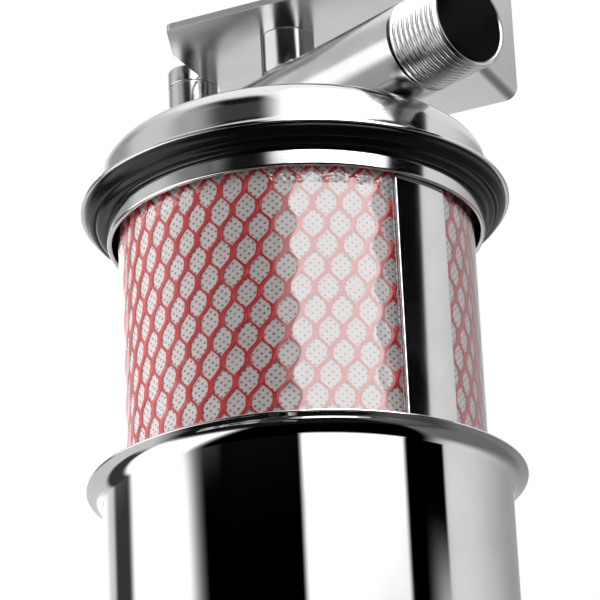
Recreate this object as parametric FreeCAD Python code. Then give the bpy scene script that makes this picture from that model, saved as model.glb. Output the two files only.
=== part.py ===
import FreeCAD, Part
import math
import os

# Water filter housing: a polished steel head that hangs from a wall bracket, a deep bowl drawn down
# for a cartridge change, the cartridge in its lift-out cradle, and the V-band clamp that closes the
# two flanges. Millimetres. The origin is on the housing's axis, in the head's flange plane; +X runs
# along the inlet nipple and +Z up.

V = FreeCAD.Vector
UP = V(0, 0, 1)
ALONG = V(1, 0, 0)
ORIGIN = V(0, 0, 0)

# Flanges, the same on the head and on the bowl
flange_width = 4.4
rim_edge = 1.2
flare_height = 3.9

# Head cap
cap_wall = 1.55
cap_shoulder_r = 7.5
cap_height = 16.4
cap_sheet = 1.5
crown_rise = 0.6

# Skirt that guides the bowl
skirt_clearance = 0.5
skirt_sheet = 1.4
skirt_drop = 9.3
skirt_inside = 8.0

# Gasket round the skirt
gasket_inset = 1.0
gasket_depth = 4.7
gasket_outer_depth = 0.9
gasket_lip = 1.5
gasket_stretch = 0.05

# Pipe run across the crown, male G 3/4 at both ends
pipe_r = 13.22
pipe_bore_r = 11.8
pipe_height = 30.3
pipe_reach = 73.0
pipe_chamfer = 0.4
pipe_mouth_bevel = 0.35
divider_x = 12.0
divider_thickness = 1.5
thread_length = 19.0
thread_relief = 0.5
relief_width = 0.8

# Ports between the pipe and the housing
inlet_port_x = 30.0
port_r = 8.5
port_wall = 1.5

# Spigot that the cartridge plugs onto
spigot_r = 15.0
spigot_bore_r = 11.0
spigot_top = 11.0
spigot_drop = 10.0
ring_section = 2.6
ring_standoff = 0.25
ring_drops = (2.6, 7.0)

# Bosses on the pipe's back: the centre one carries the bracket
boss_r = 7.75
rear_boss_r = 7.3
rear_boss_x = 41.9
boss_top = 54.1

# Wall bracket, turned about the housing's axis
bracket_turn = 23.0
bracket_sheet = 2.0
bracket_bend_r = 2.0
bracket_reach = 42.75
bracket_near = 22.3
bracket_far = 70.2
bracket_back = 32.8
bracket_cut_back = 5.4
bracket_cut_side = 14.3
bracket_screw_gap = 0.5
bracket_corner_r = 2.0
leg_height = 48.0
wall_pattern_r = 15.0
wall_pattern_y = 0.0
wall_pattern_height = 26.0
wall_hole_r = 3.3
wall_hole_count = 4

# M8 bolt that holds the bracket, with a plain and a split washer
thread_r = 4.0
bolt_depth = 7.0
bolt_flats = 13.0
bolt_head = 5.3
washer_r = 8.0
washer_thickness = 1.6
split_washer_r = 6.5
split_washer_thickness = 2.0
split_width = 1.0

# Round-headed screw that closes the rear boss
screw_head_r = 7.35
screw_head = 5.8
screw_edge_r = 1.2
screw_socket_flats = 6.0
screw_socket_depth = 3.0

# Cartridge
cartridge_r = 49.7
film_thickness = 0.5
net_thickness = 1.0
media_thickness = 28.8
cartridge_top = 4.0
cartridge_length = 178.0
end_cap_height = 10.0
end_cap_web = 3.0
end_cap_groove = 2.0
core_wall = 1.6
core_window_width = 7.0
core_window_height = 9.0
core_window_rows = 9
core_window_count = 6
core_clearance = 0.35
ring_seal_clearance = 0.05

# Cradle that lifts the cartridge out
strap_width = 18.0
strap_thickness = 1.15
cradle_ring_width = 5.0
cradle_sheet = 1.5
foot_hole_r = 6.0
spring_width = 10.0
spring_sheet = 0.6
spring_length = 26.0
spring_rise = 2.0
spring_clearance = 0.3

# Bowl
bowl_drop = 81.2
bowl_clearance = 1.35
bowl_sheet = 1.5
bowl_depth = 200.0
bowl_knuckle_r = 14.0
bowl_dish_rise = 7.0
bowl_flare = 5.0

# Drain in the bowl's bottom
drain_boss_r = 11.0
drain_boss_height = 12.0
drain_bore_r = 6.58
drain_clearance = 0.05
drain_shank = 8.0
drain_head_flats = 17.0
drain_head_height = 7.0
drain_washer_r = 9.5
drain_washer_thickness = 1.5

# V-band clamp, parked round the bowl
clamp_drop = 178.0
clamp_clearance = 0.3
clamp_lip = 7.0
clamp_crown = 4.6
clamp_depth = 6.0
clamp_sheet = 1.2
segment_count = 3
segment_gap = 9.0
band_sheet = 0.9
band_width = 14.0
band_opening = 15.0
trunnion_r = 5.0
trunnion_length = 19.0
bolt_r = 4.0
bolt_tail = 16.0
bolt_slot_clearance = 0.6
bolt_head_height = 4.0
bolt_head_r = 6.5
knob_r = 10.0
knob_length = 14.0
knob_bevel = 1.2
knob_collar_r = 6.5
knob_gap = 1.2
knob_grooves = 10
knob_groove_r = 1.6
knob_clearance = 0.06

# Places that several pieces share
strap_outer_r = cartridge_r + strap_thickness
skirt_r = strap_outer_r + skirt_clearance + skirt_sheet
cap_wall_r = skirt_r + cap_wall
bowl_r = skirt_r + bowl_clearance + bowl_sheet
flange_r = bowl_r + flange_width
gasket_outer_r = flange_r - gasket_inset
bowl_top = -bowl_drop
pipe_top = pipe_height + pipe_r
socket_r = spigot_r + ring_standoff + ring_seal_clearance
core_r = socket_r + core_wall
net_r = cartridge_r - film_thickness
media_r = net_r - net_thickness
cartridge_bottom = cartridge_top - cartridge_length
drain_face = bowl_top - bowl_depth - drain_boss_height
clamp_z = -clamp_drop
clamp_lip_r = bowl_r + clamp_clearance
band_r = clamp_lip_r + clamp_depth + clamp_sheet
trunnion_x = (band_r + trunnion_r + band_sheet) * math.sin(math.radians(band_opening))
bolt_y = -(band_r + trunnion_r + band_sheet) * math.cos(math.radians(band_opening))
knob_x = trunnion_x + trunnion_r + band_sheet + bolt_slot_clearance
grip_x = math.sqrt((band_r + band_sheet + knob_gap) ** 2 - (bolt_y + knob_r) ** 2)


def outline(start, *steps):
    """Closed face in the XZ plane. A step is (x, z), or (mid_x, mid_z, x, z) for an arc."""
    edges = []
    here = V(start[0], 0, start[1])
    for step in steps + (start,):
        there = V(step[-2], 0, step[-1])
        if len(step) == 4:
            edges.append(Part.Arc(here, V(step[0], 0, step[1]), there).toShape())
        elif there.distanceToPoint(here) > 1e-6:
            edges.append(Part.makeLine(here, there))
        here = there
    return Part.Face(Part.Wire(edges))


def turned(start, *steps, angle=360.0):
    """Solid turned about the housing's axis from an outline."""
    return outline(start, *steps).revolve(ORIGIN, UP, angle)


def tube(outer_r, inner_r, low, high):
    """Upright tube about the housing's axis."""
    return turned((inner_r, low), (outer_r, low), (outer_r, high), (inner_r, high))


def rod(radius, start, end):
    """Round bar between two points."""
    return Part.makeCylinder(radius, (end - start).Length, start, end - start)


def hexagon(flats, height, base):
    """Upright hexagonal bar."""
    corner_r = flats / math.sqrt(3)
    corners = [base + V(corner_r * math.cos(a), corner_r * math.sin(a), 0)
               for a in (math.radians(60 * i) for i in range(7))]
    return Part.Face(Part.makePolygon(corners)).extrude(UP * height)


def quarter(centre_x, centre_z, radius, turn=45.0):
    """Point on an arc, for the middle of a rounded corner."""
    angle = math.radians(turn)
    return (centre_x + radius * math.cos(angle), centre_z + radius * math.sin(angle))


def head_cap():
    """Spun cap: flat flange face, flared rim, wall, rounded shoulder and a low crown."""
    centre_r = cap_wall_r - cap_shoulder_r
    centre_z = cap_height - cap_shoulder_r
    inner_r = cap_shoulder_r - (cap_wall_r - skirt_r)
    flare_mid = ((flange_r + cap_wall_r) / 2 - flare_height / 5, rim_edge + flare_height / 4)
    neck_r = port_r
    crown_top = cap_height + crown_rise
    shell = turned(
        (skirt_r, 0), (flange_r, 0), (flange_r, rim_edge),
        flare_mid + (cap_wall_r, flare_height),
        (cap_wall_r, centre_z),
        quarter(centre_r, centre_z, cap_shoulder_r) + (centre_r, cap_height),
        (centre_r * 0.6, cap_height + crown_rise * 0.7, neck_r, crown_top),
        (neck_r, crown_top - cap_sheet),
        (centre_r * 0.6, cap_height + crown_rise * 0.7 - cap_sheet, centre_r, cap_height - cap_sheet),
        quarter(centre_r, centre_z, inner_r) + (skirt_r, centre_z))
    return shell.cut(rod(port_r, V(inlet_port_x, 0, 0), V(inlet_port_x, 0, pipe_height)))


def head_skirt():
    """Short sleeve seamed into the cap; the bowl's mouth slides round it."""
    bevel = skirt_sheet / 2
    return turned(
        (skirt_r - skirt_sheet, -skirt_drop + bevel), (skirt_r - bevel, -skirt_drop),
        (skirt_r, -skirt_drop + bevel), (skirt_r, skirt_inside), (skirt_r - skirt_sheet, skirt_inside))


def head_gasket():
    """Moulded ring under the flange: a crowned face and a lip against the skirt."""
    inner_r = skirt_r + gasket_stretch
    lip_r = inner_r + gasket_lip
    face_z = -gasket_depth + gasket_lip / 2
    mid_r = (lip_r + gasket_outer_r) / 2
    return turned(
        (inner_r, 0), (gasket_outer_r, 0), (gasket_outer_r, -gasket_outer_depth),
        (mid_r + gasket_lip / 2, -gasket_depth + gasket_lip, lip_r, face_z),
        (inner_r + gasket_lip / 2, -gasket_depth, inner_r, face_z))


def nipple(start, end):
    """Pipe end along X: a threaded length with a relief groove behind it and a bevelled mouth."""
    way = ALONG * (1 if end > start else -1)
    near = V(start, 0, pipe_height)
    far = V(end, 0, pipe_height)
    body = rod(pipe_r, near, far - way * pipe_chamfer)
    body = body.fuse(Part.makeCone(pipe_r, pipe_r - pipe_chamfer, pipe_chamfer,
                                   far - way * pipe_chamfer, way))
    relief = far - way * (thread_length + relief_width)
    groove = rod(pipe_r + relief_width, relief, relief + way * relief_width)
    groove = groove.cut(rod(pipe_r - thread_relief, relief, relief + way * relief_width))
    mouth = Part.makeCone(pipe_bore_r, pipe_bore_r + pipe_mouth_bevel, pipe_mouth_bevel,
                          far - way * pipe_mouth_bevel, way)
    return body.cut(groove).cut(rod(pipe_bore_r, near, far)).cut(mouth).removeSplitter()


def inlet_nipple():
    port = rod(port_r, V(inlet_port_x, 0, 0), V(inlet_port_x, 0, pipe_height))
    return nipple(divider_x, pipe_reach).cut(port)


def outlet_nipple():
    return nipple(divider_x, -pipe_reach).cut(rod(port_r, ORIGIN, V(0, 0, pipe_height)))


def flow_divider():
    """Blanking disc that parts the dirty side from the clean side."""
    start = V(divider_x - divider_thickness, 0, pipe_height)
    return rod(pipe_bore_r, start, start + ALONG * divider_thickness)


def riser(x, low):
    """Stub between the pipe's bore and the housing, saddle-cut to the pipe."""
    base = V(x, 0, low)
    top = V(x, 0, pipe_height)
    stub = rod(port_r, base, top).cut(rod(port_r - port_wall, base, top))
    bore = rod(pipe_bore_r, V(-pipe_reach, 0, pipe_height), V(pipe_reach, 0, pipe_height))
    return stub.cut(bore)


def inlet_port():
    return riser(inlet_port_x, cap_height - cap_sheet)


def outlet_spigot():
    """Clean-water stub on the axis, with the plug and its two ring grooves below it."""
    half = ring_section / 2
    groove_r = spigot_r + ring_standoff - ring_section
    edge = ring_standoff * 3
    plug = tube(spigot_r, spigot_bore_r, -spigot_drop, spigot_top - port_wall)
    shoulder = tube(spigot_r, port_r - port_wall, spigot_top - port_wall, spigot_top)
    body = plug.fuse(shoulder).fuse(riser(0, spigot_top))
    for drop in ring_drops:
        body = body.cut(tube(spigot_r + edge, groove_r, -drop - half, -drop + half))
    return body.removeSplitter()


def spigot_o_rings():
    """The two sealing rings in the spigot's grooves."""
    half = ring_section / 2
    centre_r = spigot_r + ring_standoff - half
    rings = [Part.makeTorus(centre_r, half - 0.001, V(0, 0, -drop)) for drop in ring_drops]
    return Part.makeCompound(rings)


def boss(x, radius):
    """Round pillar on the pipe's back, drilled for an M8 thread."""
    pillar = rod(radius, V(x, 0, pipe_height), V(x, 0, boss_top))
    pillar = pillar.cut(rod(pipe_r, V(-pipe_reach, 0, pipe_height), V(pipe_reach, 0, pipe_height)))
    return pillar.cut(rod(thread_r, V(x, 0, boss_top - bolt_depth), V(x, 0, boss_top)))


def centre_boss():
    return boss(0, boss_r)


def rear_boss():
    return boss(-rear_boss_x, rear_boss_r)


def bracket_plan():
    """Prism of the bracket's plan outline, in the bracket's own frame."""
    turn = math.radians(bracket_turn)
    screw = V(-rear_boss_x * math.cos(turn), rear_boss_x * math.sin(turn), 0)
    corners = [
        V(bracket_reach, -bracket_near, 0),
        V(-bracket_back + bracket_cut_back, -bracket_near, 0),
        V(-bracket_back, -bracket_near + bracket_cut_side, 0),
        V(-bracket_back, bracket_far - bracket_cut_side, 0),
        V(-bracket_back + bracket_cut_back, bracket_far, 0),
        V(bracket_reach, bracket_far, 0)]
    height = boss_top + leg_height
    sheet = Part.Face(Part.makePolygon(corners + corners[:1])).extrude(UP * height)
    sheet = sheet.makeFillet(bracket_corner_r, [
        e for e in sheet.Edges
        if abs(e.Length - height) < 1e-6 and e.CenterOfMass.x < bracket_reach - 1])
    return sheet.cut(rod(screw_head_r + bracket_screw_gap, screw, screw + UP * height))


def wall_bracket():
    """Bent sheet: the flat leg on the centre boss, the upright leg on the wall."""
    outer_r = bracket_bend_r + bracket_sheet
    centre_x = bracket_reach - outer_r
    centre_z = boss_top + outer_r
    top = boss_top + leg_height
    back = -bracket_back
    face = outline(
        (back, boss_top), (centre_x, boss_top),
        quarter(centre_x, centre_z, outer_r, -45) + (bracket_reach, centre_z),
        (bracket_reach, top), (bracket_reach - bracket_sheet, top),
        (bracket_reach - bracket_sheet, centre_z),
        quarter(centre_x, centre_z, bracket_bend_r, -45) + (centre_x, boss_top + bracket_sheet),
        (back, boss_top + bracket_sheet))
    length = bracket_near + bracket_far
    face.translate(V(0, -bracket_near, 0))
    sheet = face.extrude(V(0, length, 0)).common(bracket_plan())
    sheet = sheet.makeFillet(bracket_corner_r * 3, [
        e for e in sheet.Edges
        if abs(e.Length - bracket_sheet) < 1e-6 and abs(e.CenterOfMass.z - top) < 1e-6])
    centre = V(0, wall_pattern_y + (bracket_far - bracket_near) / 2, boss_top + wall_pattern_height)
    for i in range(wall_hole_count):
        angle = 2 * math.pi * (i + 0.5) / wall_hole_count
        place = centre + V(0, math.cos(angle), math.sin(angle)) * wall_pattern_r
        sheet = sheet.cut(rod(wall_hole_r, place, place + ALONG * (bracket_reach + bracket_sheet)))
    sheet.rotate(ORIGIN, UP, bracket_turn)
    return sheet.cut(rod(thread_r, V(0, 0, boss_top), V(0, 0, boss_top + bracket_sheet)))


def centre_bolt():
    """Hexagon-head bolt down through washers and bracket into the centre boss."""
    seat = boss_top + bracket_sheet + washer_thickness + split_washer_thickness
    shank = rod(thread_r, V(0, 0, boss_top - bolt_depth), V(0, 0, seat))
    head = hexagon(bolt_flats, bolt_head, V(0, 0, seat))
    bevel = Part.makeCone(bolt_flats / 2 + bolt_head, bolt_flats / 2, bolt_head, V(0, 0, seat))
    return shank.fuse(head.common(bevel))


def rear_bolt():
    """Socket screw with a round head that closes the rear boss."""
    base = V(-rear_boss_x, 0, boss_top)
    head = rod(screw_head_r, base, base + UP * screw_head)
    head = head.makeFillet(screw_edge_r, [
        e for e in head.Edges if abs(e.CenterOfMass.z - boss_top - screw_head) < 1e-6])
    socket = hexagon(screw_socket_flats, screw_socket_depth,
                     base + UP * (screw_head - screw_socket_depth))
    return head.cut(socket).fuse(rod(thread_r, base - UP * bolt_depth, base))


def bracket_washers():
    """Plain washer on the bracket and a split washer on top of it."""
    base = boss_top + bracket_sheet
    plain = tube(washer_r, thread_r, base, base + washer_thickness)
    low = base + washer_thickness
    split = tube(split_washer_r, thread_r, low, low + split_washer_thickness)
    gap = Part.makeBox(split_washer_r, split_width, split_washer_thickness, V(0, -split_width / 2, low))
    return Part.makeCompound([plain, split.cut(gap)])


def cartridge_top_cap():
    """Moulded end cap with the socket for the spigot and a finger groove in its face."""
    low = cartridge_top - end_cap_height
    groove_r = media_r - media_thickness / 3
    floor = cartridge_top - end_cap_groove
    half = media_thickness / 5
    return turned(
        (socket_r, low), (net_r, low), (net_r, cartridge_top - end_cap_groove),
        quarter(net_r - end_cap_groove, floor, end_cap_groove) + (net_r - end_cap_groove, cartridge_top),
        (groove_r + half, cartridge_top), (groove_r, floor, groove_r - half, cartridge_top),
        (socket_r + core_wall / 2, cartridge_top), (socket_r, cartridge_top - core_wall / 2))


def cartridge_bottom_cap():
    """Closed end cap: a floor with a turned-up rim round the foot of the media."""
    low = cartridge_bottom
    web = low + end_cap_web
    high = low + end_cap_height
    return turned(
        (0, low), (net_r - end_cap_groove, low),
        quarter(net_r - end_cap_groove, low + end_cap_groove, end_cap_groove, -45)
        + (net_r, low + end_cap_groove),
        (net_r, high), (media_r, high), (media_r, web), (0, web))


def core_tube():
    """Cage that the media is wound on: rows of windows between rings and ribs."""
    low = cartridge_bottom + end_cap_web
    high = cartridge_top - end_cap_height
    wall = tube(core_r, socket_r, low, high)
    pitch = (high - low) / core_window_rows
    for row in range(core_window_rows):
        z = low + pitch * (row + 0.5)
        for i in range(core_window_count // 2):
            window = Part.makeBox(4 * core_r, core_window_width, core_window_height,
                                  V(-2 * core_r, -core_window_width / 2, z - core_window_height / 2))
            window.rotate(ORIGIN, UP, 360 * i / core_window_count)
            wall = wall.cut(window)
    return wall


def filter_media():
    """Layered white depth media between the core and the net."""
    return tube(media_r, core_r + core_clearance,
                cartridge_bottom + end_cap_web, cartridge_top - end_cap_height)


def net_sleeve():
    """Plastic net over the media, plain here at its full thickness."""
    return tube(net_r, media_r, cartridge_bottom + end_cap_height, cartridge_top - end_cap_height)


def clear_film():
    """Clear sleeve shrunk over the net and both end caps."""
    return tube(cartridge_r, net_r, cartridge_bottom + end_cap_groove, cartridge_top - end_cap_groove)


def strip(width, middle, *corners):
    """Piece of a turned section, as wide as given on the cartridge, about one bearing."""
    half = math.degrees(width / 2 / cartridge_r)
    piece = turned(*corners, angle=2 * half)
    piece.rotate(ORIGIN, UP, middle - half)
    return piece


def strap(middle):
    """Upright strip rolled to the cartridge's outside."""
    foot = cartridge_bottom - cradle_sheet
    head = cartridge_top + cradle_sheet
    return strip(strap_width, middle, (cartridge_r, foot), (strap_outer_r, foot),
                 (strap_outer_r, head), (cartridge_r, head))


def front_strap():
    return strap(0)


def rear_strap():
    return strap(180)


def centring_springs():
    """Bowed leaves on the straps that bear on the bowl's wall and steady it."""
    low = cartridge_bottom + spring_rise
    high = low + spring_length
    middle = (low + high) / 2
    crest = bowl_r - bowl_sheet - spring_clearance
    foot_r = strap_outer_r + spring_sheet
    leaves = [strip(spring_width, bearing, (strap_outer_r, low), (foot_r, low),
                    (crest, middle, foot_r, high), (strap_outer_r, high),
                    (crest - spring_sheet, middle, strap_outer_r, low))
              for bearing in (0, 180)]
    return Part.makeCompound(leaves)


def cradle_foot():
    """Cross bar under the cartridge, between the feet of the straps."""
    low = cartridge_bottom - cradle_sheet
    bar = Part.makeBox(4 * cartridge_r, strap_width, cradle_sheet,
                       V(-2 * cartridge_r, -strap_width / 2, low))
    disc = rod(cartridge_r, V(0, 0, low), V(0, 0, cartridge_bottom))
    return bar.common(disc).cut(rod(foot_hole_r, V(0, 0, low), V(0, 0, cartridge_bottom)))


def cradle_ring():
    """Flat ring on top of the cartridge, between the heads of the straps."""
    return tube(cartridge_r, cartridge_r - cradle_ring_width, cartridge_top, cartridge_top + cradle_sheet)


def bowl_shell():
    """Drawn bowl: flared flange, straight wall, knuckle and dished bottom with the drain hole."""
    inner_r = bowl_r - bowl_sheet
    bottom = bowl_top - bowl_depth
    knuckle_x = bowl_r - bowl_knuckle_r
    wall_foot = bottom + bowl_dish_rise + bowl_knuckle_r
    flare_foot = bowl_top - bowl_flare
    mouth_r = flange_r - rim_edge * 1.5
    inner_knuckle = bowl_knuckle_r - bowl_sheet
    flare_out = (bowl_r + (flange_r - bowl_r) * 0.28, bowl_top - rim_edge - bowl_flare * 0.28)
    flare_in = (inner_r + (mouth_r - inner_r) * 0.28, bowl_top - bowl_flare * 0.32)
    dish_out = (knuckle_x * 0.55, bottom + bowl_dish_rise * 0.28)
    return turned(
        (drain_bore_r, bottom), dish_out + (knuckle_x, bottom + bowl_dish_rise),
        quarter(knuckle_x, wall_foot, bowl_knuckle_r, -45) + (bowl_r, wall_foot),
        (bowl_r, flare_foot),
        flare_out + (flange_r, bowl_top - rim_edge),
        (flange_r, bowl_top), (mouth_r, bowl_top),
        flare_in + (inner_r, flare_foot),
        (inner_r, wall_foot),
        quarter(knuckle_x, wall_foot, inner_knuckle, -45) + (knuckle_x, bottom + bowl_dish_rise + bowl_sheet),
        (dish_out[0], dish_out[1] + bowl_sheet, drain_bore_r, bottom + bowl_sheet))


def drain_boss():
    """Tapped boss under the bowl."""
    bottom = bowl_top - bowl_depth
    blank = tube(drain_boss_r, drain_bore_r, drain_face, bottom + bowl_sheet)
    return blank.cut(bowl_shell()).Solids[0]


def drain_plug():
    """Hexagon plug that screws up into the drain boss."""
    seat = drain_face - drain_washer_thickness
    shank_r = drain_bore_r - drain_clearance
    chamfer = drain_head_height / 5
    shank = rod(shank_r, V(0, 0, seat), V(0, 0, seat + drain_washer_thickness + drain_shank))
    collar = rod(drain_washer_r, V(0, 0, seat - chamfer), V(0, 0, seat))
    head = hexagon(drain_head_flats, drain_head_height - chamfer, V(0, 0, seat - drain_head_height))
    return shank.fuse(collar).fuse(head).removeSplitter()


def drain_washer():
    """Sealing washer on the plug's shank."""
    return tube(drain_washer_r, drain_bore_r - drain_clearance,
                drain_face - drain_washer_thickness, drain_face)


def clamp_segments():
    """V-shaped retainers spaced round the band."""
    lip_r = clamp_lip_r
    crown_r = lip_r + clamp_depth
    slant = clamp_sheet * 0.6
    half = 180 / segment_count - segment_gap / 2
    start = 90 - half
    pieces = []
    for i in range(segment_count):
        piece = turned(
            (lip_r, clamp_z - clamp_lip - slant), (lip_r, clamp_z - clamp_lip + slant),
            (crown_r, clamp_z - clamp_crown + slant), (crown_r, clamp_z + clamp_crown - slant),
            (lip_r, clamp_z + clamp_lip - slant), (lip_r, clamp_z + clamp_lip + slant),
            (crown_r + clamp_sheet, clamp_z + clamp_crown),
            (crown_r + clamp_sheet, clamp_z - clamp_crown), angle=2 * half)
        piece.rotate(ORIGIN, UP, start + 360 * i / segment_count)
        pieces.append(piece)
    return Part.makeCompound(pieces)


def trunnion_place(side):
    return V(side * trunnion_x, bolt_y, clamp_z)


def upright(radius, place, length):
    """Upright round bar centred on a place."""
    return rod(radius, place - UP * (length / 2), place + UP * (length / 2))


def clamp_band():
    """Outer band, rolled round a trunnion at each end and slotted for the bolt."""
    loop_r = trunnion_r + band_sheet
    half = band_width / 2
    band = turned((band_r, clamp_z - half), (band_r + band_sheet, clamp_z - half),
                  (band_r + band_sheet, clamp_z + half), (band_r, clamp_z + half),
                  angle=360 - 2 * band_opening)
    band.rotate(ORIGIN, UP, band_opening - 90)
    inside = upright(band_r, V(0, 0, clamp_z), 2 * band_width)
    for side in (-1, 1):
        place = trunnion_place(side)
        loop = upright(loop_r, place, band_width).cut(inside)
        band = band.fuse(loop)
    for side in (-1, 1):
        band = band.cut(upright(trunnion_r, trunnion_place(side), 2 * band_width))
    slot = V(trunnion_x * 2, 0, 0)
    centre = V(0, bolt_y, clamp_z)
    return band.cut(rod(bolt_r + bolt_slot_clearance, centre - slot, centre + slot)).removeSplitter()


def clamp_trunnions():
    """Cross pins in the band's ends, drilled for the bolt."""
    bore = rod(bolt_r, V(-2 * trunnion_x, bolt_y, clamp_z), V(2 * trunnion_x, bolt_y, clamp_z))
    return Part.makeCompound(
        [upright(trunnion_r, trunnion_place(side), trunnion_length).cut(bore) for side in (-1, 1)])


def clamp_t_bolt():
    """Bolt through both trunnions, with its head against the left one."""
    head_x = -trunnion_x - trunnion_r - band_sheet - bolt_slot_clearance
    start = V(head_x, bolt_y, clamp_z)
    end = V(grip_x + knob_length + bolt_tail, bolt_y, clamp_z)
    bevel = bolt_r / 5
    shank = rod(bolt_r, start, end - ALONG * bevel)
    tip = Part.makeCone(bolt_r, bolt_r - bevel, bevel, end - ALONG * bevel, ALONG)
    head = rod(bolt_head_r, start - ALONG * bolt_head_height, start)
    return shank.fuse(tip).fuse(head).removeSplitter()


def clamp_knob():
    """Hand knob with grip grooves; its collar carries it clear of the band."""
    start = V(knob_x, bolt_y, clamp_z)
    grip_start = V(grip_x, bolt_y, clamp_z)
    end = grip_start + ALONG * knob_length
    grip = rod(knob_r, grip_start, end)
    grip = grip.makeChamfer(knob_bevel, [e for e in grip.Edges if len(e.Vertexes) == 1])
    for i in range(knob_grooves):
        angle = 2 * math.pi * i / knob_grooves
        offset = V(0, math.cos(angle), math.sin(angle)) * knob_r
        grip = grip.cut(rod(knob_groove_r, grip_start + offset, end + offset))
    collar = rod(knob_collar_r, start, grip_start)
    return grip.fuse(collar).cut(rod(bolt_r + knob_clearance, start, end)).removeSplitter()


parts = [
    head_cap, head_skirt, head_gasket, inlet_nipple, outlet_nipple, flow_divider, inlet_port,
    outlet_spigot, spigot_o_rings, centre_boss, rear_boss, wall_bracket, centre_bolt, rear_bolt,
    bracket_washers, cartridge_top_cap, cartridge_bottom_cap, core_tube, filter_media, net_sleeve,
    clear_film, front_strap, rear_strap, centring_springs, cradle_foot, cradle_ring, bowl_shell,
    drain_boss, drain_plug, drain_washer, clamp_segments, clamp_band, clamp_trunnions, clamp_t_bolt, clamp_knob]

os.makedirs("parts", exist_ok=True)
for make in parts:
    make().exportStep("parts/" + make.__name__ + ".step")
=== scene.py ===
"""Water filter housing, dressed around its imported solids. Metres; the origin is on the housing's
axis in the head's flange plane, +X runs along the inlet and +Z up."""
import math

import bmesh
import bpy
from mathutils import Matrix, Vector


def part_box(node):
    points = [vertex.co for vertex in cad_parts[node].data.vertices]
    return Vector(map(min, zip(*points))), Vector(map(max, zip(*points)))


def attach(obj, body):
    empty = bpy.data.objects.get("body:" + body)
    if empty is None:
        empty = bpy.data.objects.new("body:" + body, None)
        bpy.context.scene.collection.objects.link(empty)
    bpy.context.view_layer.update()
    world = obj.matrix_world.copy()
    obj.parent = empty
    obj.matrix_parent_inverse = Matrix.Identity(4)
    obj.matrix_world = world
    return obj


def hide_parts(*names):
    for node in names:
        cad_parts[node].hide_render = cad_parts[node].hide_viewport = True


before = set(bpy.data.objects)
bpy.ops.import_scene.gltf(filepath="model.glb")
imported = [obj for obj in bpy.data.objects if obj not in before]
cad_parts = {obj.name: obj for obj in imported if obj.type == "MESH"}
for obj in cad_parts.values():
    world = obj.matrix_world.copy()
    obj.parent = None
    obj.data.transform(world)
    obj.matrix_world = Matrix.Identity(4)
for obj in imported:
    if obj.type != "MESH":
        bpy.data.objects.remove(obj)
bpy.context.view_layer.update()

MM = 0.001
FULL_TURN = 2 * math.pi
ORIGIN = (0, 0, 0)
UP = Vector((0, 0, 1))
ROUND = 256                 # steps of a full turn on the large pieces
CORNER_STEPS = 8            # steps of a rounded corner in an outline
SHARP = math.radians(32)    # an edge bent further than this is a sharp one
JOINED = 1e-7               # points closer than this are one

# Sizes read from the frame
flange_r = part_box("head_cap")[1].x
cap_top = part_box("head_cap")[1].z
skirt_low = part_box("head_skirt")[0].z
skirt_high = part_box("head_skirt")[1].z
skirt_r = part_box("head_skirt")[1].x
pipe_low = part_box("inlet_nipple")[0].z
pipe_r = (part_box("inlet_nipple")[1].z - pipe_low) / 2
pipe_z = pipe_low + pipe_r
boss_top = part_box("centre_boss")[1].z
cartridge_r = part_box("clear_film")[1].x
net_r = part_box("net_sleeve")[1].x
media_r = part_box("filter_media")[1].x
net_low, net_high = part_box("net_sleeve")[0].z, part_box("net_sleeve")[1].z
bowl_low, bowl_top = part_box("bowl_shell")[0].z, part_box("bowl_shell")[1].z


# ---------------------------------------------------------------- shapes

def made(name, bm, material):
    """Object at the origin from a bmesh, in one material."""
    mesh = bpy.data.meshes.new(name)
    bm.to_mesh(mesh)
    bm.free()
    mesh.materials.append(material)
    obj = bpy.data.objects.new(name, mesh)
    bpy.context.collection.objects.link(obj)
    return obj


def piece(name, bm, material, body, slot, *nodes):
    """Turns a bmesh into a piece that rides on a body and stands for CAD nodes."""
    obj = made(name, bm, material)
    for face in obj.data.polygons:
        face.use_smooth = True
    obj.data.set_sharp_from_angle(angle=SHARP)
    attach(obj, body)
    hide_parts(*nodes)
    return obj


def rounded(obj, width, segments):
    """Small even rounding on every sharp edge."""
    bevel = obj.modifiers.new("edges", "BEVEL")
    bevel.width = width
    bevel.segments = segments
    bevel.limit_method = "ANGLE"
    bevel.angle_limit = SHARP
    bevel.harden_normals = True
    return obj


def section(corners, closed=True):
    """Wire outline in the XZ plane from (x, z) or (x, z, rounding) corners."""
    bm = bmesh.new()
    verts = [bm.verts.new((corner[0], 0, corner[1])) for corner in corners]
    pairs = list(zip(verts, verts[1:] + verts[:1]))
    for a, b in pairs if closed else pairs[:-1]:
        bm.edges.new((a, b))
    for corner, vert in zip(corners, verts):
        if len(corner) > 2:
            bmesh.ops.bevel(bm, geom=[vert], offset=corner[2], offset_type="OFFSET",
                            affect="VERTICES", segments=CORNER_STEPS, profile=0.5, material=-1)
    return bm


def spun(bm, steps, axis=UP):
    """Spins an outline a full turn and joins its seam and poles."""
    bmesh.ops.spin(bm, geom=list(bm.verts) + list(bm.edges), cent=ORIGIN, axis=axis,
                   angle=FULL_TURN, steps=steps, use_merge=True)
    bmesh.ops.remove_doubles(bm, verts=bm.verts, dist=JOINED)
    return bm


def faced(bm):
    """Turns every face outwards."""
    bmesh.ops.recalc_face_normals(bm, faces=bm.faces)
    return bm


def turned(bm, steps=ROUND):
    """Round piece from an outline."""
    return faced(spun(bm, steps))


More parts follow.
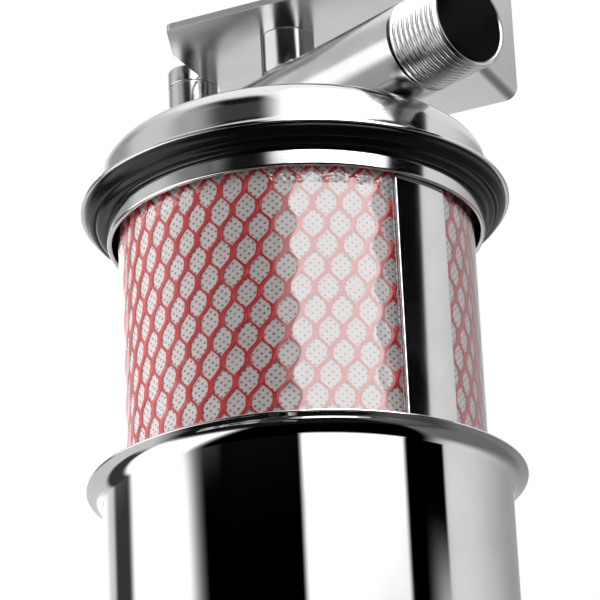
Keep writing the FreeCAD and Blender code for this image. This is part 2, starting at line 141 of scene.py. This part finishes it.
def part_turned(bm, angle, steps, start):
    """Piece of a ring, with its end faces, from a closed outline."""
    ends = bmesh.ops.contextual_create(bm, geom=list(bm.edges))["faces"]
    bmesh.ops.rotate(bm, verts=bm.verts, cent=ORIGIN, matrix=Matrix.Rotation(start, 3, UP))
    bmesh.ops.spin(bm, geom=ends, cent=ORIGIN, axis=UP, angle=angle, steps=steps)
    bmesh.ops.remove_doubles(bm, verts=bm.verts, dist=JOINED)
    return faced(bm)


def moved(bm, x, y, z):
    bmesh.ops.translate(bm, verts=bm.verts, vec=(x, y, z))
    return bm


def softened(name, node, material, body, slot, width, segments=2):
    """Copy of a CAD solid, its triangles joined and its edges broken as the real part's are."""
    bm = bmesh.new()
    bm.from_mesh(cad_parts[node].data)
    bmesh.ops.remove_doubles(bm, verts=bm.verts, dist=1e-6)
    bmesh.ops.dissolve_limit(bm, angle_limit=math.radians(0.5), verts=bm.verts, edges=bm.edges)
    return rounded(piece(name, bm, material, body, slot, node), width, segments)


# ---------------------------------------------------------------- materials

class Value:
    """A socket in a material; arithmetic on it adds Math nodes."""

    def __init__(self, shade, socket):
        self.shade = shade
        self.socket = socket

    def math(self, operation, *others):
        return self.shade.node("ShaderNodeMath", {"operation": operation}, self, *others)

    def __add__(self, other):
        return self.math("ADD", other)

    def __mul__(self, other):
        return self.math("MULTIPLY", other)

    def __sub__(self, other):
        return self.math("SUBTRACT", other)

    def __rsub__(self, other):
        return self.shade.node("ShaderNodeMath", {"operation": "SUBTRACT"}, other, self)

    def __truediv__(self, other):
        return self.math("DIVIDE", other)

    __radd__ = __add__
    __rmul__ = __mul__

    def between(self, low, high):
        """0 below low, 1 above high, smooth between."""
        return self.shade.node("ShaderNodeMapRange", {"interpolation_type": "SMOOTHSTEP"},
                               self, low, high, 0.0, 1.0)


class Shade:
    """One material, or the world, under construction."""

    def __init__(self, name, world=False):
        self.owner = (bpy.data.worlds if world else bpy.data.materials).new(name)
        self.owner.use_nodes = True
        self.tree = self.owner.node_tree
        self.tree.nodes.clear()
        self.output = self.tree.nodes.new(
            "ShaderNodeOutputWorld" if world else "ShaderNodeOutputMaterial")

    def node(self, kind, settings=None, *inputs, out=0, **named):
        """Adds a node: settings first, then its sockets by place or by name. out is the number
        of the output that is wanted, or None for all of them."""
        node = self.tree.nodes.new(kind)
        for key, value in (settings or {}).items():
            setattr(node, key, value)
        for place, value in list(enumerate(inputs)) + list(named.items()):
            socket = node.inputs[place if isinstance(place, int) else place.replace("_", " ")]
            if isinstance(value, Value):
                self.tree.links.new(value.socket, socket)
            elif value is not None:
                socket.default_value = value
        if out is None:
            return [Value(self, socket) for socket in node.outputs]
        return Value(self, node.outputs[out])

    def place(self):
        """Where a point lies, in the piece's own coordinates."""
        return self.node("ShaderNodeTexCoord", out=3)

    def parts(self, vector):
        return self.node("ShaderNodeSeparateXYZ", {}, vector, out=None)

    def noise(self, scale, detail=3.0):
        return self.node("ShaderNodeTexNoise", {}, self.place(), Scale=scale, Detail=detail)

    def blend(self, factor, first, second):
        """Mix of two colours, which are sockets 6 and 7 of the node."""
        return self.node("ShaderNodeMix", {"data_type": "RGBA"}, factor,
                         None, None, None, None, None, first, second, out=2)

    def bump(self, height, strength, distance=0.0001):
        return self.node("ShaderNodeBump", {}, Height=height, Strength=strength,
                         Distance=distance)

    def principled(self, **sockets):
        return self.node("ShaderNodeBsdfPrincipled", {}, **sockets)

    def finish(self, shader):
        self.tree.links.new(shader.socket, self.output.inputs["Surface"])
        return self.owner


def grey(value):
    return (value, value, value, 1.0)


def steel(s, cloud, dark, pale, roughness, **more):
    """Bare steel whose tone wanders a little between two greys."""
    tone = s.blend(cloud.between(0.3, 0.7), grey(dark), grey(pale))
    return s.finish(s.principled(Base_Color=tone, Metallic=1.0, Roughness=roughness, **more))


def polished_steel():
    """Mirror-polished steel with faint wiping marks."""
    s = Shade("polished_steel")
    marks = s.noise(60.0, 6.0)
    return steel(s, marks, 0.62, 0.68, marks.between(0.35, 0.75) * 0.025 + 0.018)


def drawn_steel():
    """Pipe ends, polished along their length, so reflections are soft."""
    s = Shade("drawn_steel")
    marks = s.noise(70.0, 5.0)
    return steel(s, marks, 0.55, 0.62, marks.between(0.3, 0.7) * 0.06 + 0.19)


def spun_steel():
    """Turned and polished: nearly a mirror, with faint rings from the lathe."""
    s = Shade("spun_steel")
    x, y, z = s.parts(s.place())
    rings = s.node("ShaderNodeTexNoise", {"noise_dimensions": "1D"},
                   W=(x * x + y * y).math("SQRT") + z, Scale=2600.0, Detail=2.0)
    marks = s.noise(60.0, 6.0)
    return steel(s, marks, 0.62, 0.68, marks.between(0.35, 0.75) * 0.03 + rings * 0.04 + 0.07,
                 Normal=s.bump(rings, 0.06))


def buffed_steel():
    """Bright sheet with a slightly soft mirror."""
    s = Shade("buffed_steel")
    cloud = s.noise(45.0, 4.0)
    return steel(s, cloud, 0.66, 0.72, cloud * 0.08 + 0.16)


def satin_steel():
    """Ground steel: a soft, slightly cloudy reflection."""
    s = Shade("satin_steel")
    cloud = s.noise(45.0, 4.0)
    return steel(s, cloud, 0.52, 0.62, cloud * 0.10 + 0.20,
                 Normal=s.bump(s.noise(1500.0), 0.12))


def black_rubber():
    s = Shade("black_rubber")
    return s.finish(s.principled(
        Base_Color=grey(0.0018), Roughness=s.noise(300.0) * 0.12 + 0.16,
        Specular_IOR_Level=0.25, Normal=s.bump(s.noise(900.0), 0.15)))


DOTS_AROUND = 131
DOT_PITCH = 2.05 * MM
# Two felt tones, mixed by the same fibre noise that shapes the bump: the darker one is painted
# shade in the hollows between fibres
FELT_HOLLOW_SHADE, FELT_FIBRE = (0.76, 0.79, 0.785, 1), (0.88, 0.91, 0.905, 1)
DOT_GREY = (0.24, 0.26, 0.27, 1)


def felt():
    """White non-woven with a grid of small grey bond points. Its tone wanders at random with the
    fibre, and is darker in the hollows between fibres as painted shade.
    """
    s = Shade("white_felt")
    x, y, z = s.parts(s.place())
    around = y.math("ARCTAN2", x) * (DOTS_AROUND / FULL_TURN)
    up = z / DOT_PITCH
    rising = ((around + up) * math.pi).math("SINE")
    falling = ((around - up) * math.pi).math("SINE")
    ripple = s.noise(500.0, 2.0) * 0.34 - 0.17
    dots = ((rising * falling).math("ABSOLUTE") + ripple).between(0.64, 0.92)
    fibre = s.noise(1800.0, 4.0)
    return s.finish(s.principled(
        Base_Color=s.blend(dots, s.blend(fibre, FELT_HOLLOW_SHADE, FELT_FIBRE), DOT_GREY),
        Roughness=0.95, Normal=s.bump(fibre - dots * 0.8, 0.5, 0.0002)))


NET_DEEP, NET_BRIGHT = (0.64, 0.022, 0.032, 1), (0.78, 0.048, 0.058, 1)


def red_net():
    s = Shade("red_net")
    return s.finish(s.principled(
        Base_Color=s.blend(s.noise(160.0), NET_DEEP, NET_BRIGHT),
        Roughness=0.38, Normal=s.bump(s.noise(800.0), 0.1)))


CRUMPLED = 5 * MM       # height of the film's crumpled rim under the skirt
FILM_IOR, FILM_GAIN = 1.52, 1.9


def clear_film():
    """Thin clear skin: what it doesn't reflect goes straight through."""
    s = Shade("clear_film")
    x, y, z = s.parts(s.place())
    crumple = z.between(skirt_low - CRUMPLED, skirt_low) * s.noise(420.0, 2.0)
    gloss = s.node("ShaderNodeBsdfGlossy", {}, grey(1.0), 0.03,
                   Normal=s.bump(crumple, 0.8, 0.0010))
    through = s.node("ShaderNodeBsdfTransparent", {}, grey(0.985))
    reflect = s.node("ShaderNodeFresnel", {}, FILM_IOR) * FILM_GAIN
    return s.finish(s.node("ShaderNodeMixShader", {}, reflect.math("MINIMUM", 1.0),
                           through, gloss))


def white_plastic():
    s = Shade("white_plastic")
    return s.finish(s.principled(Base_Color=s.blend(s.noise(200.0), grey(0.74), grey(0.80)),
                                 Roughness=0.45))


def black_plastic():
    s = Shade("black_plastic")
    return s.finish(s.principled(Base_Color=grey(0.02), Roughness=s.noise(500.0) * 0.2 + 0.35,
                                 Normal=s.bump(s.noise(1500.0), 0.3)))


STEEL = polished_steel()
DRAWN = drawn_steel()
SPUN = spun_steel()
BUFFED = buffed_steel()
SATIN = satin_steel()
RUBBER = black_rubber()
FELT = felt()
NET = red_net()
FILM = clear_film()
WHITE = white_plastic()
BLACK = black_plastic()


# ---------------------------------------------------------------- head

def head_cap():
    """Spun cap: flat flange, straight wall, round shoulder, and a crown that rises a little."""
    sheet = 1.5 * MM
    rim, root = 1.2 * MM, 1.9 * MM      # the flange's upper side, at its edge and at the wall
    wall_r = flange_r - 5.7 * MM
    neck_r = 8.5 * MM
    shoulder = cap_top - 0.6 * MM
    inner_low = 8 * MM
    bm = section([
        (skirt_r, 0), (flange_r, 0, 0.35 * MM), (flange_r, rim, 0.5 * MM),
        (wall_r, root, 3.0 * MM), (wall_r, shoulder, 7.4 * MM), (neck_r, cap_top),
        (neck_r, cap_top - sheet), (wall_r - sheet, shoulder - sheet, 5.5 * MM),
        (skirt_r, inner_low)])
    return piece("cap", turned(bm), SPUN, "head", "polished_steel", "head_cap")


def head_skirt():
    """Sleeve that the bowl slides round, with a soft lower edge."""
    sheet, edge = 1.4 * MM, 0.6 * MM
    bm = section([
        (skirt_r - sheet, skirt_low, edge), (skirt_r, skirt_low, edge),
        (skirt_r, skirt_high), (skirt_r - sheet, skirt_high)])
    return piece("skirt", turned(bm), SPUN, "head", "polished_steel", "head_skirt")


def head_gasket():
    """Black ring: a rounded outer bead, a groove and a second bead against the skirt."""
    outer = flange_r - 1.0 * MM
    inner = skirt_r + 0.05 * MM
    seat, side = -0.02 * MM, -1.3 * MM
    bead, groove = -3.3 * MM, -2.7 * MM
    lip_edge, lip = -4.2 * MM, -4.7 * MM
    bm = section([
        (inner, seat), (outer, seat), (outer, side, 0.9 * MM),
        (outer - 2.2 * MM, bead, 0.8 * MM), (outer - 2.9 * MM, groove, 0.3 * MM),
        (outer - 3.5 * MM, lip_edge, 0.7 * MM), (inner + 0.9 * MM, lip, 0.6 * MM),
        (inner, lip_edge)])
    return piece("gasket", turned(bm), RUBBER, "head", "black_rubber", "head_gasket")


PIPE_BORE_R = 11.8 * MM
PIPE_STEPS = 160
MOUTH_BEVEL, MOUTH_CHAMFER = 0.35 * MM, 0.4 * MM
THREAD_PITCH = 1.814 * MM
THREAD_DEPTH = 0.9 * MM
THREAD_LENGTH = 19 * MM
THREAD_ROWS = 190
THREAD_START = 0.397                    # share of a turn, so that the crests lie as seen
FLANK_SLOPE, FLANK_SHIFT = 1.45, 0.225
ROOT_POWER = 1.3


def thread_groove(along, turns):
    """Depth of the thread at a length along it and a share of a turn round it."""
    phase = (along / THREAD_PITCH - turns - THREAD_START) % 1.0
    flank = FLANK_SLOPE * (1 - abs(2 * phase - 1)) - FLANK_SHIFT
    depth = THREAD_DEPTH * math.sin(math.pi / 2 * min(1.0, max(0.0, flank))) ** ROOT_POWER
    return depth * min(1.0, max(0.0, along / THREAD_PITCH))


def pipe_end(name, node, way):
    """Nipple with its pipe thread, which reaches its full depth a turn from the plain pipe."""
    low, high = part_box(node)
    start, end = (low.x, high.x) if way > 0 else (high.x, low.x)
    length = abs(end - start)
    plain = length - THREAD_LENGTH
    bm = bmesh.new()
    rows = [0.0] + [plain + THREAD_LENGTH * i / THREAD_ROWS for i in range(THREAD_ROWS + 1)]
    outer = [bm.verts.new((row, 0, pipe_r)) for row in rows]
    mouth = [bm.verts.new(corner) for corner in (
        (length, 0, PIPE_BORE_R + MOUTH_BEVEL), (length - MOUTH_BEVEL, 0, PIPE_BORE_R),
        (0, 0, PIPE_BORE_R))]
    for a, b in zip(outer + mouth, outer[1:] + mouth + outer[:1]):
        bm.edges.new((a, b))
    spun(bm, PIPE_STEPS, (1, 0, 0))
    for v in bm.verts:
        radius = math.hypot(v.co.y, v.co.z)
        if radius < pipe_r - 0.5 * MM or v.co.x < plain - 1e-6:
            continue
        turns = math.atan2(v.co.z, v.co.y) / FULL_TURN
        chamfer = max(0.0, v.co.x - (length - MOUTH_CHAMFER))
        scale = (pipe_r - max(thread_groove(v.co.x - plain, turns), chamfer)) / radius
        v.co.y *= scale
        v.co.z *= scale
    faced(bm)
    if way < 0:
        bmesh.ops.rotate(bm, verts=bm.verts, cent=ORIGIN, matrix=Matrix.Rotation(math.pi, 3, UP))
    moved(bm, start, 0, pipe_z)
    return piece(name, bm, DRAWN, "head", "polished_steel", node)


# The weld round a pillar's foot: (outwards, up) from the pillar's side and the pipe, in mm
WELD = ((1.0, -0.3), (0.95, 0.05), (0.42, 0.28), (0.1, 0.7), (0.0, 1.3))


def boss(name, node):
    """Pillar welded on the pipe's back; its foot follows the pipe's round."""
    low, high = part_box(node)
    radius = (high.y - low.y) / 2
    foot = [(radius + out * MM, up * MM) for out, up in WELD]
    bm = section([(0, foot[0][1])] + foot + [(radius, boss_top, 0.3 * MM), (0, boss_top)],
                 closed=False)
    turned(bm, 128)
    for v in bm.verts:
        if v.co.z < 2 * MM:
            v.co.z += pipe_z + math.sqrt(pipe_r ** 2 - v.co.y ** 2)
    moved(bm, (low.x + high.x) / 2, 0, 0)
    return piece(name, bm, SPUN, "head", "polished_steel", node)


def closing_screw():
    """Round-headed screw in the rear pillar: a fine seam under it, a hexagon socket on top."""
    low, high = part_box("rear_bolt")
    radius, top = (high.y - low.y) / 2, high.z
    neck_r = radius - 0.5 * MM
    socket_r, depth = 3.0 * MM, 3.0 * MM
    bm = section([
        (0, boss_top), (neck_r, boss_top), (neck_r, boss_top + 0.15 * MM),
        (radius, boss_top + 0.35 * MM, 0.15 * MM), (radius, top, 1.2 * MM),
        (socket_r + 0.9 * MM, top), (socket_r, top - 0.25 * MM), (socket_r, top - depth),
        (0, top - depth)], closed=False)
    turned(bm, 96)
    sixth = math.pi / 3
    for v in bm.verts:
        if abs(math.hypot(v.co.x, v.co.y) - socket_r) < 0.01 * MM:
            side = (math.atan2(v.co.y, v.co.x) + sixth / 2) % sixth - sixth / 2
            v.co.x /= math.cos(side)
            v.co.y /= math.cos(side)
    moved(bm, (low.x + high.x) / 2, 0, 0)
    return piece("closing_screw", bm, SPUN, "head", "satin_steel", "rear_bolt")


# ---------------------------------------------------------------- cartridge

NET_CELLS = 42
NET_PITCH = 12.25 * MM
NET_TWIST = -0.02
NET_ROWS = 120
STRAND = 0.52 * MM                          # a strand's radius before it is shaped
STRAND_SIDES = 6
STRAND_WIDTH, RISING_WIDTH = 1.20, 0.40     # across the strand, and what a rising one adds
STRAND_HEIGHT = 0.75
RISING_HEIGHT = 0.15


def net_wave(z):
    """Sideways swing of a strand at a height: widest where it is joined to its neighbour."""
    return math.sin(math.pi / 2 * math.cos(FULL_TURN * z / NET_PITCH))


def net_swing():
    """How far a strand swings: half the way to its neighbour, less half its own radius."""
    return math.pi * net_r / NET_CELLS / 2 - STRAND * 0.5


def net_sleeve():
    """Extruded net: pairs of strands that lean on one neighbour and then on the other. Those
    that rise to the right lie a little further out."""
    bm = bmesh.new()
    step = FULL_TURN / NET_CELLS
    rise = (net_high - net_low) / NET_ROWS
    for side, way in ((0, 1), (1, -1)):
        ring = bmesh.ops.create_circle(bm, segments=STRAND_SIDES, radius=STRAND)["verts"]
        strand = list(ring)
        edges = list({e for v in ring for e in v.link_edges})
        for _ in range(NET_ROWS):
            out = bmesh.ops.extrude_edge_only(bm, edges=edges)["geom"]
            edges = [g for g in out if isinstance(g, bmesh.types.BMEdge)
                     and all(v not in strand for v in g.verts)]
            new = list({v for e in edges for v in e.verts})
            bmesh.ops.translate(bm, verts=new, vec=(0, 0, rise))
            strand += new
        for v in strand:
            z = v.co.z + net_low
            rising = -way * math.sin(FULL_TURN * z / NET_PITCH)
            along = (v.co.x * (STRAND_WIDTH + RISING_WIDTH * rising)
                     + net_swing() * net_wave(z) * way - z * NET_TWIST)
            angle = along / net_r + side * step / 2
            radius = (media_r + STRAND * (STRAND_HEIGHT + RISING_HEIGHT * rising)
                      + v.co.y * STRAND_HEIGHT)
            v.co = (radius * math.cos(angle), radius * math.sin(angle), z)
    bmesh.ops.spin(bm, geom=list(bm.verts) + list(bm.edges) + list(bm.faces), cent=ORIGIN,
                   axis=UP, angle=FULL_TURN, steps=NET_CELLS, use_duplicate=True,
                   use_merge=False)
    bmesh.ops.remove_doubles(bm, verts=bm.verts, dist=JOINED)
    return piece("net", faced(bm), NET, "cartridge", "red_net", "net_sleeve")


def felt_roll():
    """The media: a plain thick tube."""
    low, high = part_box("filter_media")[0].z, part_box("filter_media")[1].z
    core_r = 17.25 * MM
    bm = section([(core_r, low), (media_r, low), (media_r, high), (core_r, high)])
    return piece("felt", turned(bm), FELT, "cartridge", "white_media", "filter_media")


def strand_gap(along, z):
    """Distance along the surface from a point to the nearest strand."""
    lane = FULL_TURN * net_r / NET_CELLS
    place = along + z * NET_TWIST
    best = lane
    for side, way in ((0, 1), (1, -1)):
        centre = side * lane / 2 + way * net_swing() * net_wave(z)
        off = (place - centre + lane / 2) % lane - lane / 2
        best = min(best, abs(off))
    return best


FILM_COLUMNS, FILM_ROWS = NET_CELLS * 12, 150
FILM_DIP = 0.08 * MM
FILM_FREE = STRAND * 0.6        # how far from a strand's middle the film leaves it
FILM_SAG = 2.4 * MM             # and how much further it reaches its full dip


def film():
    """Shrunk skin that lies on the strands and dips into the cells between them."""
    low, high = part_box("clear_film")[0].z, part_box("clear_film")[1].z
    bm = section([(cartridge_r, low + (high - low) * i / FILM_ROWS)
                  for i in range(FILM_ROWS + 1)], closed=False)
    spun(bm, FILM_COLUMNS)
    for v in bm.verts:
        if not net_low < v.co.z < net_high:
            continue
        angle = math.atan2(v.co.y, v.co.x)
        gap = strand_gap(angle * net_r, v.co.z)
        away = max(0.0, min(1.0, (gap - FILM_FREE) / FILM_SAG))
        radius = cartridge_r - FILM_DIP * away * away * (3 - 2 * away)
        v.co.x, v.co.y = radius * math.cos(angle), radius * math.sin(angle)
    return piece("film", faced(bm), FILM, "cartridge", "clear_film", "clear_film")


def strap(name, node, bearing):
    """Upright strip rolled to the cartridge's outside."""
    low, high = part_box(node)
    outer = max(abs(low.x), abs(high.x))
    half_width = 9 * MM
    half = math.asin(half_width / outer)
    bm = section([(cartridge_r, low.z), (outer, low.z), (outer, high.z), (cartridge_r, high.z)])
    part_turned(bm, 2 * half, 24, bearing - half)
    return rounded(piece(name, bm, SPUN, "cartridge", "polished_steel", node), 0.35 * MM, 3)


# ---------------------------------------------------------------- bowl

def bowl():
    """Drawn bowl: flared flange, straight wall, round knuckle and a dished bottom."""
    sheet, edge = 1.5 * MM, 0.6 * MM
    hole_r = 6.58 * MM
    wall_r = flange_r - 4.4 * MM
    inner_r = wall_r - sheet
    dish_r, dish = wall_r * 0.55, bowl_low + 1.6 * MM
    knuckle = bowl_low + 7 * MM
    bm = section([
        (hole_r, bowl_low), (dish_r, dish, 8 * MM), (wall_r, knuckle, 13 * MM),
        (wall_r, bowl_top - 2.2 * MM, 3.2 * MM),
        (flange_r, bowl_top - edge, 0.2 * MM), (flange_r, bowl_top, 0.3 * MM),
        (flange_r - 2.2 * MM, bowl_top, 0.8 * MM), (inner_r, bowl_top - 1.6 * MM, 3.0 * MM),
        (inner_r, knuckle + sheet, 11 * MM), (dish_r, dish + sheet, 8 * MM),
        (hole_r, bowl_low + sheet)])
    return piece("bowl", turned(bm), STEEL, "bowl", "polished_steel", "bowl_shell")


# ---------------------------------------------------------------- build

head_cap()
head_skirt()
head_gasket()
pipe_end("inlet", "inlet_nipple", 1)
pipe_end("outlet", "outlet_nipple", -1)
boss("centre_pillar", "centre_boss")
boss("rear_pillar", "rear_boss")
softened("bracket", "wall_bracket", BUFFED, "head", "polished_steel", 0.5 * MM, 3)
softened("bolt_centre", "centre_bolt", SATIN, "head", "satin_steel", 0.2 * MM)
closing_screw()
softened("washers", "bracket_washers", SATIN, "head", "satin_steel", 0.2 * MM)
felt_roll()
net_sleeve()
film()
strap("strap_front", "front_strap", 0.0)
strap("strap_rear", "rear_strap", math.pi)
bowl()

# These are shown as their solids stand, in their own finish
for material, nodes in (
        (STEEL, ("flow_divider", "inlet_port", "outlet_spigot", "centring_springs",
                 "cradle_foot", "cradle_ring", "drain_boss", "drain_plug", "clamp_segments",
                 "clamp_band", "clamp_trunnions", "clamp_t_bolt")),
        (RUBBER, ("spigot_o_rings", "drain_washer")),
        (WHITE, ("cartridge_top_cap", "cartridge_bottom_cap", "core_tube")),
        (BLACK, ("clamp_knob",))):
    for node in nodes:
        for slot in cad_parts[node].material_slots:
            slot.material = material


# ---------------------------------------------------------------- studio

VIEW_AZIMUTH = math.radians(47.5)
VIEW_ELEVATION = math.radians(-23.733)
VIEW_DISTANCE = 0.978
VIEW_PAN, VIEW_TILT, VIEW_ROLL = (math.radians(a) for a in (-0.015, -1.441, 2.618))
VIEW_LENS = 209.48
TENT_R, TENT_BASE = 2.4, 0.80
CARD_AWAY = 0.9
FLOOR_Z, FLOOR_REACH = -2.4, 14.0


def band(value, rise, top, fall, end):
    """0 outside rise..end, 1 from top to fall, smooth between."""
    return value.between(rise, top) * (1 - value.between(fall, end))


def over(below, light, mask):
    """Lays one panel's light over what is already there."""
    return below * (1 - mask) + mask * light


def tent():
    """Light tent round the housing, seen only in its reflections: a bright softbox and grey,
    white and black panels, each laid over the ones before it. b is the bearing to the right
    of the photo's camera and e the elevation, in degrees. The tent stands still when the
    camera moves."""
    s = Shade("tent")
    x, y, z = s.parts(s.place())
    ahead = x * math.sin(VIEW_AZIMUTH) - y * math.cos(VIEW_AZIMUTH)
    aside = x * math.cos(VIEW_AZIMUTH) + y * math.sin(VIEW_AZIMUTH)
    degrees = 180 / math.pi
    b = aside.math("ARCTAN2", ahead) * degrees
    e = z.math("ARCTAN2", (ahead * ahead + aside * aside).math("SQRT")) * degrees

    # Bearings that slant with the height, for panels that stand at an angle
    lean = b + e * 0.35
    steep = b + (e - 31).math("MAXIMUM", 0.0) * 0.7
    strip = b - (e - 15).math("MAXIMUM", 0.0) * 0.6

    # Left edge of the white panel beside the softbox, which steps twice on its way up
    middle, high = e.between(15, 19), e.between(22, 30)
    beside = over(over(b.between(-4.5, -0.5), b.between(-18, -7), middle),
                  b.between(-20, 1), high)

    light = TENT_BASE
    for strength, mask in (
            # overhead
            (1.25, e.between(48, 62)),
            # left, and behind on the left
            (0.45, band(b, -150, -138, -122, -105) * band(e, 16, 22, 36, 48)),
            (0.52, band(b, -84, -68, -60, -45) * band(e, 17, 20, 50, 60)),
            (0.05, band(b, -139, -131, -118, -109) * band(e, -48, -38, 14, 21)),
            (1.80, b.between(-116, -108) * (1 - lean.between(-68, -56))
             * band(e, -55, -44, 15.5, 19)),
            (1.45, band(b, -179, -165, -158, -139) * band(e, -5, 5, 22, 30)),
            # right, and behind on the right
            (0.95, band(b, 78, 84, 150, 165) * (1 - e.between(50, 60))),
            (0.42, b.between(85, 150) * (1 - b.between(160, 178)) * (1 - e.between(24, 32))),
            (0.20, band(b, 60, 80, 145, 165) * (1 - e.between(-25, 0))),
            # black, low in front and beside the softbox on the right
            (0.0, lean.between(-66, -52) * (1 - b.between(64, 81)) * (1 - e.between(14, 22))),
            (0.0, band(strip, 54, 56, 78.5, 81) * band(e, 9, 12, 38, 46)),
            # grey and black, on the left, above the level of the housing
            (0.26, band(b, -90, -60, -50, -45) * band(e, 12, 16, 22, 27)),
            (0.01, band(steep, -62, -34, -10, 2) * band(e, 10, 16, 50, 68)),
            (0.07, band(b, -60, -40, -22, -12) * band(e, 27, 29, 31, 36)),
            # white panel in front, and the softbox in it
            (1.60, beside * (1 - strip.between(52.5, 56)) * (e - b * 0.08).between(-2, 8)),
            (5.4, band(b, -3, 1, 50, 54) * band(e, 11, 14, 60, 70)),
            # underfoot
            (0.01, 1 - e.between(-58, -47)),
            (0.14, b.between(55, 80) * (1 - e.between(-62, -48)))):
        light = over(light, strength, mask)

    material = s.finish(s.principled(
        Base_Color=grey(0.0), Specular_IOR_Level=0.0, Emission_Strength=1.0,
        Emission_Color=s.node("ShaderNodeCombineColor", {}, light, light, light)))
    material.cycles.emission_sampling = "NONE"
    bm = bmesh.new()
    bmesh.ops.create_icosphere(bm, subdivisions=5, radius=TENT_R)
    bmesh.ops.reverse_faces(bm, faces=bm.faces)
    obj = made("tent", bm, material)
    obj.visible_camera = obj.visible_diffuse = obj.visible_shadow = False


def card(name, bearing, half, low, high, strength):
    """A panel's light on matt surfaces, by bearing right of the photo's camera."""
    middle = VIEW_AZIMUTH + math.radians(bearing)
    out = Vector((math.sin(middle), -math.cos(middle), 0))
    side = Vector((math.cos(middle), math.sin(middle), 0))
    bm = bmesh.new()
    bm.faces.new([bm.verts.new(out * CARD_AWAY + side * half * way + UP * z)
                  for way, z in ((-1, low), (1, low), (1, high), (-1, high))])
    s = Shade(name)
    obj = made(name, bm, s.finish(s.node("ShaderNodeEmission", {}, grey(1.0), strength)))
    obj.visible_camera = obj.visible_glossy = obj.visible_shadow = False


def floor():
    """Plain pale floor, lower than the camera, which looks up. The steel doesn't mirror it."""
    bm = bmesh.new()
    bmesh.ops.create_grid(bm, x_segments=1, y_segments=1, size=FLOOR_REACH)
    s = Shade("floor_paint")
    paint = s.finish(s.principled(Base_Color=grey(0.8), Roughness=0.9))
    obj = made("floor", moved(bm, 0, 0, FLOOR_Z), paint)
    obj.visible_glossy = False


def white_room():
    """Even white world."""
    s = Shade("studio", world=True)
    bpy.context.scene.world = s.finish(s.node("ShaderNodeBackground", {}, grey(1.0), 1.0))


def camera():
    """The photo's viewpoint, as fitted to both flange circles."""
    back = Vector((math.sin(VIEW_AZIMUTH) * math.cos(VIEW_ELEVATION),
                   -math.cos(VIEW_AZIMUTH) * math.cos(VIEW_ELEVATION),
                   math.sin(VIEW_ELEVATION)))
    ahead = -back
    right = ahead.cross(UP).normalized()
    up = right.cross(ahead)
    turn_by = Matrix.Rotation(VIEW_PAN, 3, up)
    ahead, right = turn_by @ ahead, turn_by @ right
    turn_by = Matrix.Rotation(VIEW_TILT, 3, right)
    ahead, up = turn_by @ ahead, turn_by @ up
    turn_by = Matrix.Rotation(VIEW_ROLL, 3, ahead)
    right, up = turn_by @ right, turn_by @ up
    data = bpy.data.cameras.new("camera")
    data.lens = VIEW_LENS
    data.sensor_width = 36
    data.clip_end = 20
    obj = bpy.data.objects.new("camera", data)
    bpy.context.collection.objects.link(obj)
    pose = Matrix((right, up, -ahead)).transposed().to_4x4()
    pose.translation = back * VIEW_DISTANCE
    obj.matrix_world = pose
    bpy.context.scene.camera = obj


tent()
card("left_panel", -90, 0.62, -0.70, 0.22, 4.4)
floor()
white_room()
camera()
bpy.context.scene.view_settings.view_transform = "Standard"
